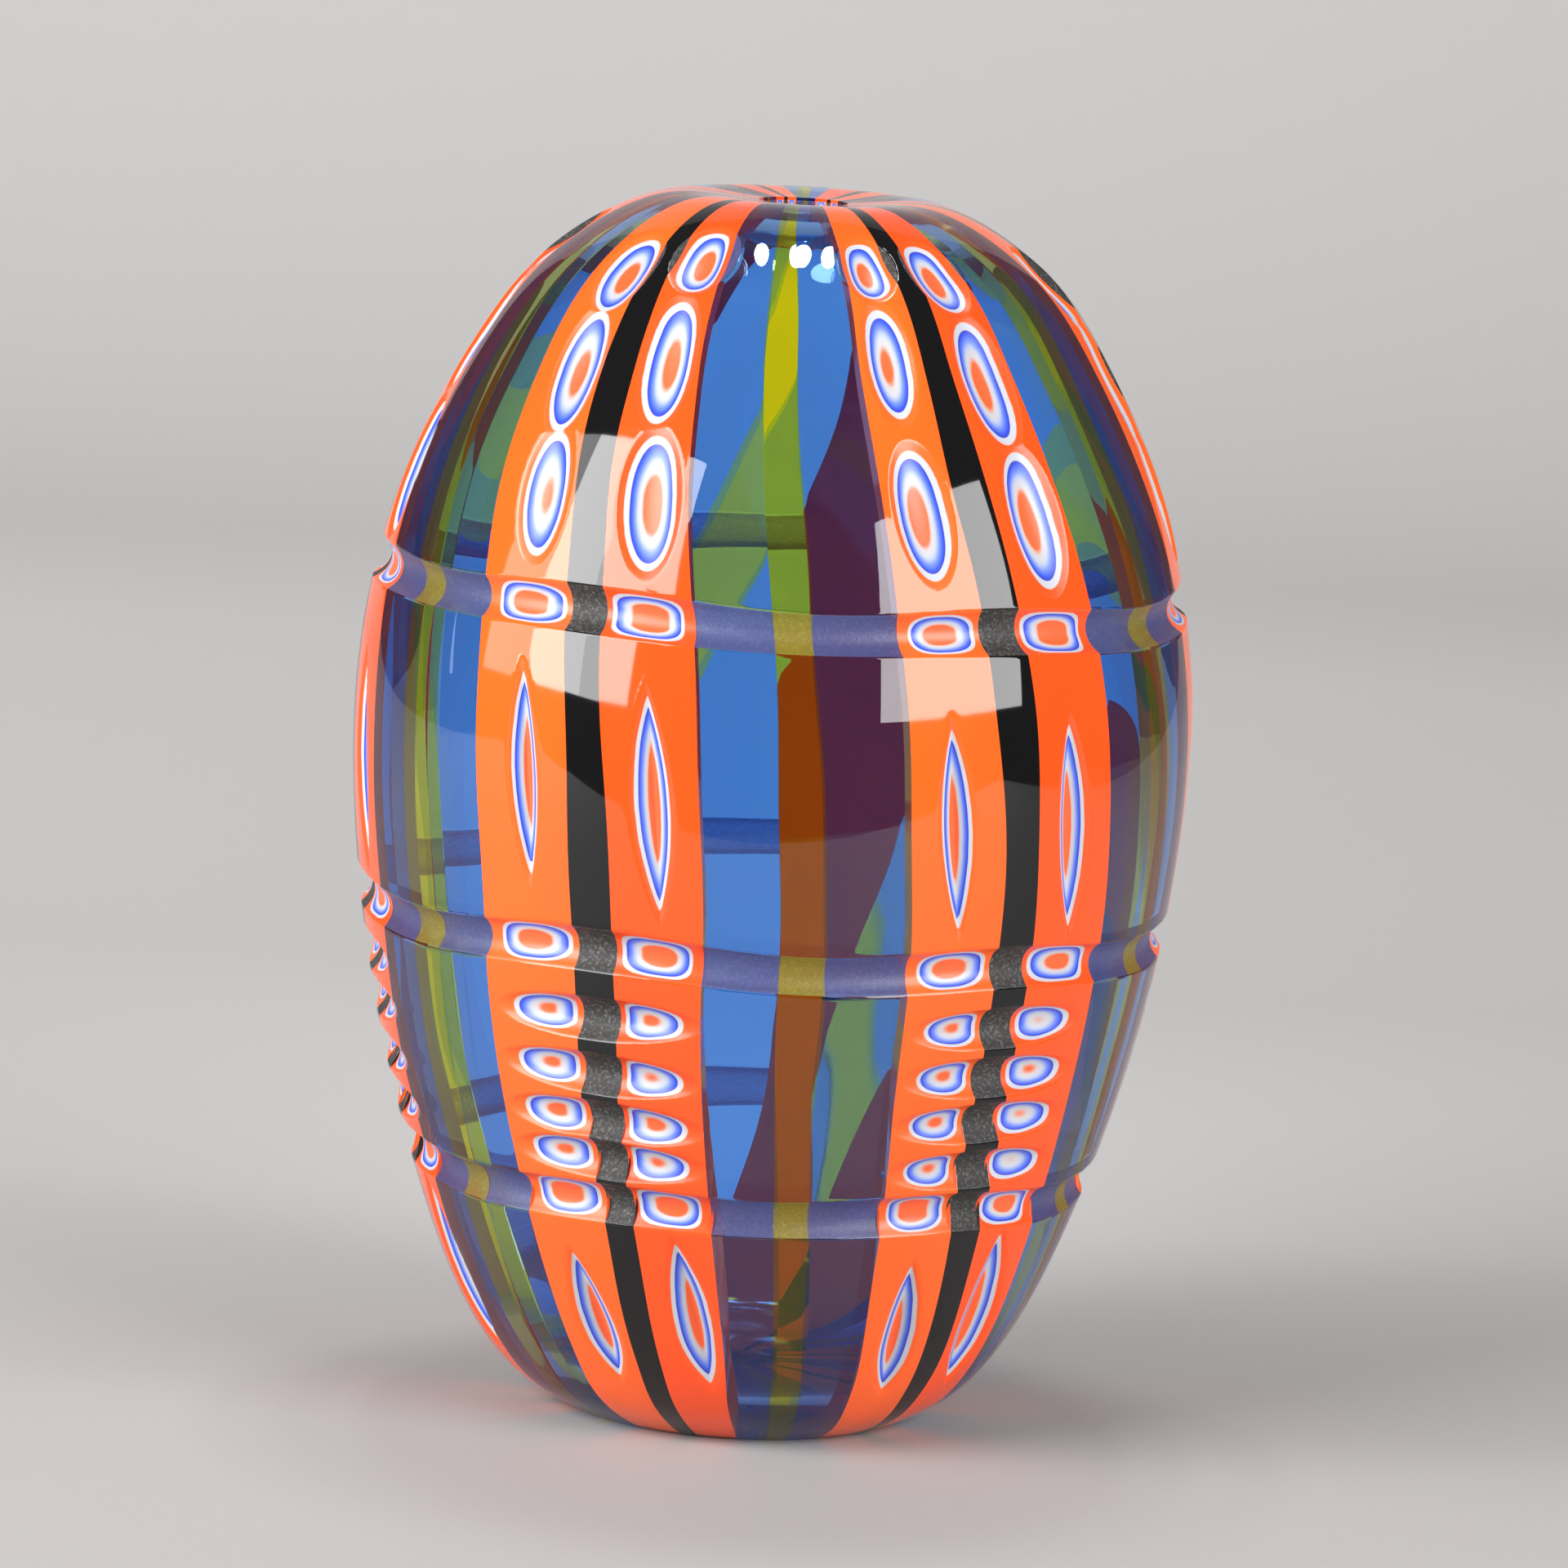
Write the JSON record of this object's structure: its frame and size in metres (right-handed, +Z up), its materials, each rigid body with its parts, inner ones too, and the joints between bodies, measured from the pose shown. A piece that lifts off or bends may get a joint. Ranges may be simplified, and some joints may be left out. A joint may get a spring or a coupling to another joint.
{
  "type": "art glass vase",
  "caption": "Closed ovoid art glass vase with a tiny mouth: fused vertical canes in orange, black, blue and yellow, wheel-cut with bands, notches, lenses and oval eyes.",
  "frame": {"origin": "Centre of the flat ground foot, on the surface the vase stands on.", "axes": "+Z up along the vase's axis, towards the mouth. -Y faces the side where a blue and yellow window lies in the middle between two orange and black groups."},
  "size_m": [0.1862, 0.1862, 0.2715],
  "materials": {
    "blue_glass": "polished transparent blue, frosted where wheel-cut",
    "yellow_glass": "polished transparent yellow, frosted where wheel-cut",
    "black_glass": "polished opaque black, grey frosted where wheel-cut",
    "orange_skin": "polished opaque orange",
    "white_casing": "opaque white, satin where wheel-cut",
    "blue_casing": "opaque blue, satin where wheel-cut",
    "orange_core": "opaque orange, satin where wheel-cut",
    "clear_glass": "polished clear"
  },
  "bodies": {
    "root": {"base_button": "clear_glass", "black_1": "black_glass", "black_2": "black_glass", "black_3": "black_glass", "black_4": "black_glass", "black_5": "black_glass", "black_6": "black_glass", "blue_casings_1": "blue_casing", "blue_casings_2": "blue_casing", "blue_casings_3": "blue_casing", "blue_casings_4": "blue_casing", "blue_casings_5": "blue_casing", "blue_casings_6": "blue_casing", "blue_left_1": "blue_glass", "blue_left_2": "blue_glass", "blue_left_3": "blue_glass", "blue_left_4": "blue_glass", "blue_left_5": "blue_glass", "blue_left_6": "blue_glass", "blue_right_1": "blue_glass", "blue_right_2": "blue_glass", "blue_right_3": "blue_glass", "blue_right_4": "blue_glass", "blue_right_5": "blue_glass", "blue_right_6": "blue_glass", "orange_cores_1": "orange_core", "orange_cores_2": "orange_core", "orange_cores_3": "orange_core", "orange_cores_4": "orange_core", "orange_cores_5": "orange_core", "orange_cores_6": "orange_core", "orange_left_1": "orange_skin", "orange_left_2": "orange_skin", "orange_left_3": "orange_skin", "orange_left_4": "orange_skin", "orange_left_5": "orange_skin", "orange_left_6": "orange_skin", "orange_right_1": "orange_skin", "orange_right_2": "orange_skin", "orange_right_3": "orange_skin", "orange_right_4": "orange_skin", "orange_right_5": "orange_skin", "orange_right_6": "orange_skin", "white_casings_1": "white_casing", "white_casings_2": "white_casing", "white_casings_3": "white_casing", "white_casings_4": "white_casing", "white_casings_5": "white_casing", "white_casings_6": "white_casing", "yellow_1": "yellow_glass", "yellow_2": "yellow_glass", "yellow_3": "yellow_glass", "yellow_4": "yellow_glass", "yellow_5": "yellow_glass", "yellow_6": "yellow_glass"}
  },
  "joints": []
}
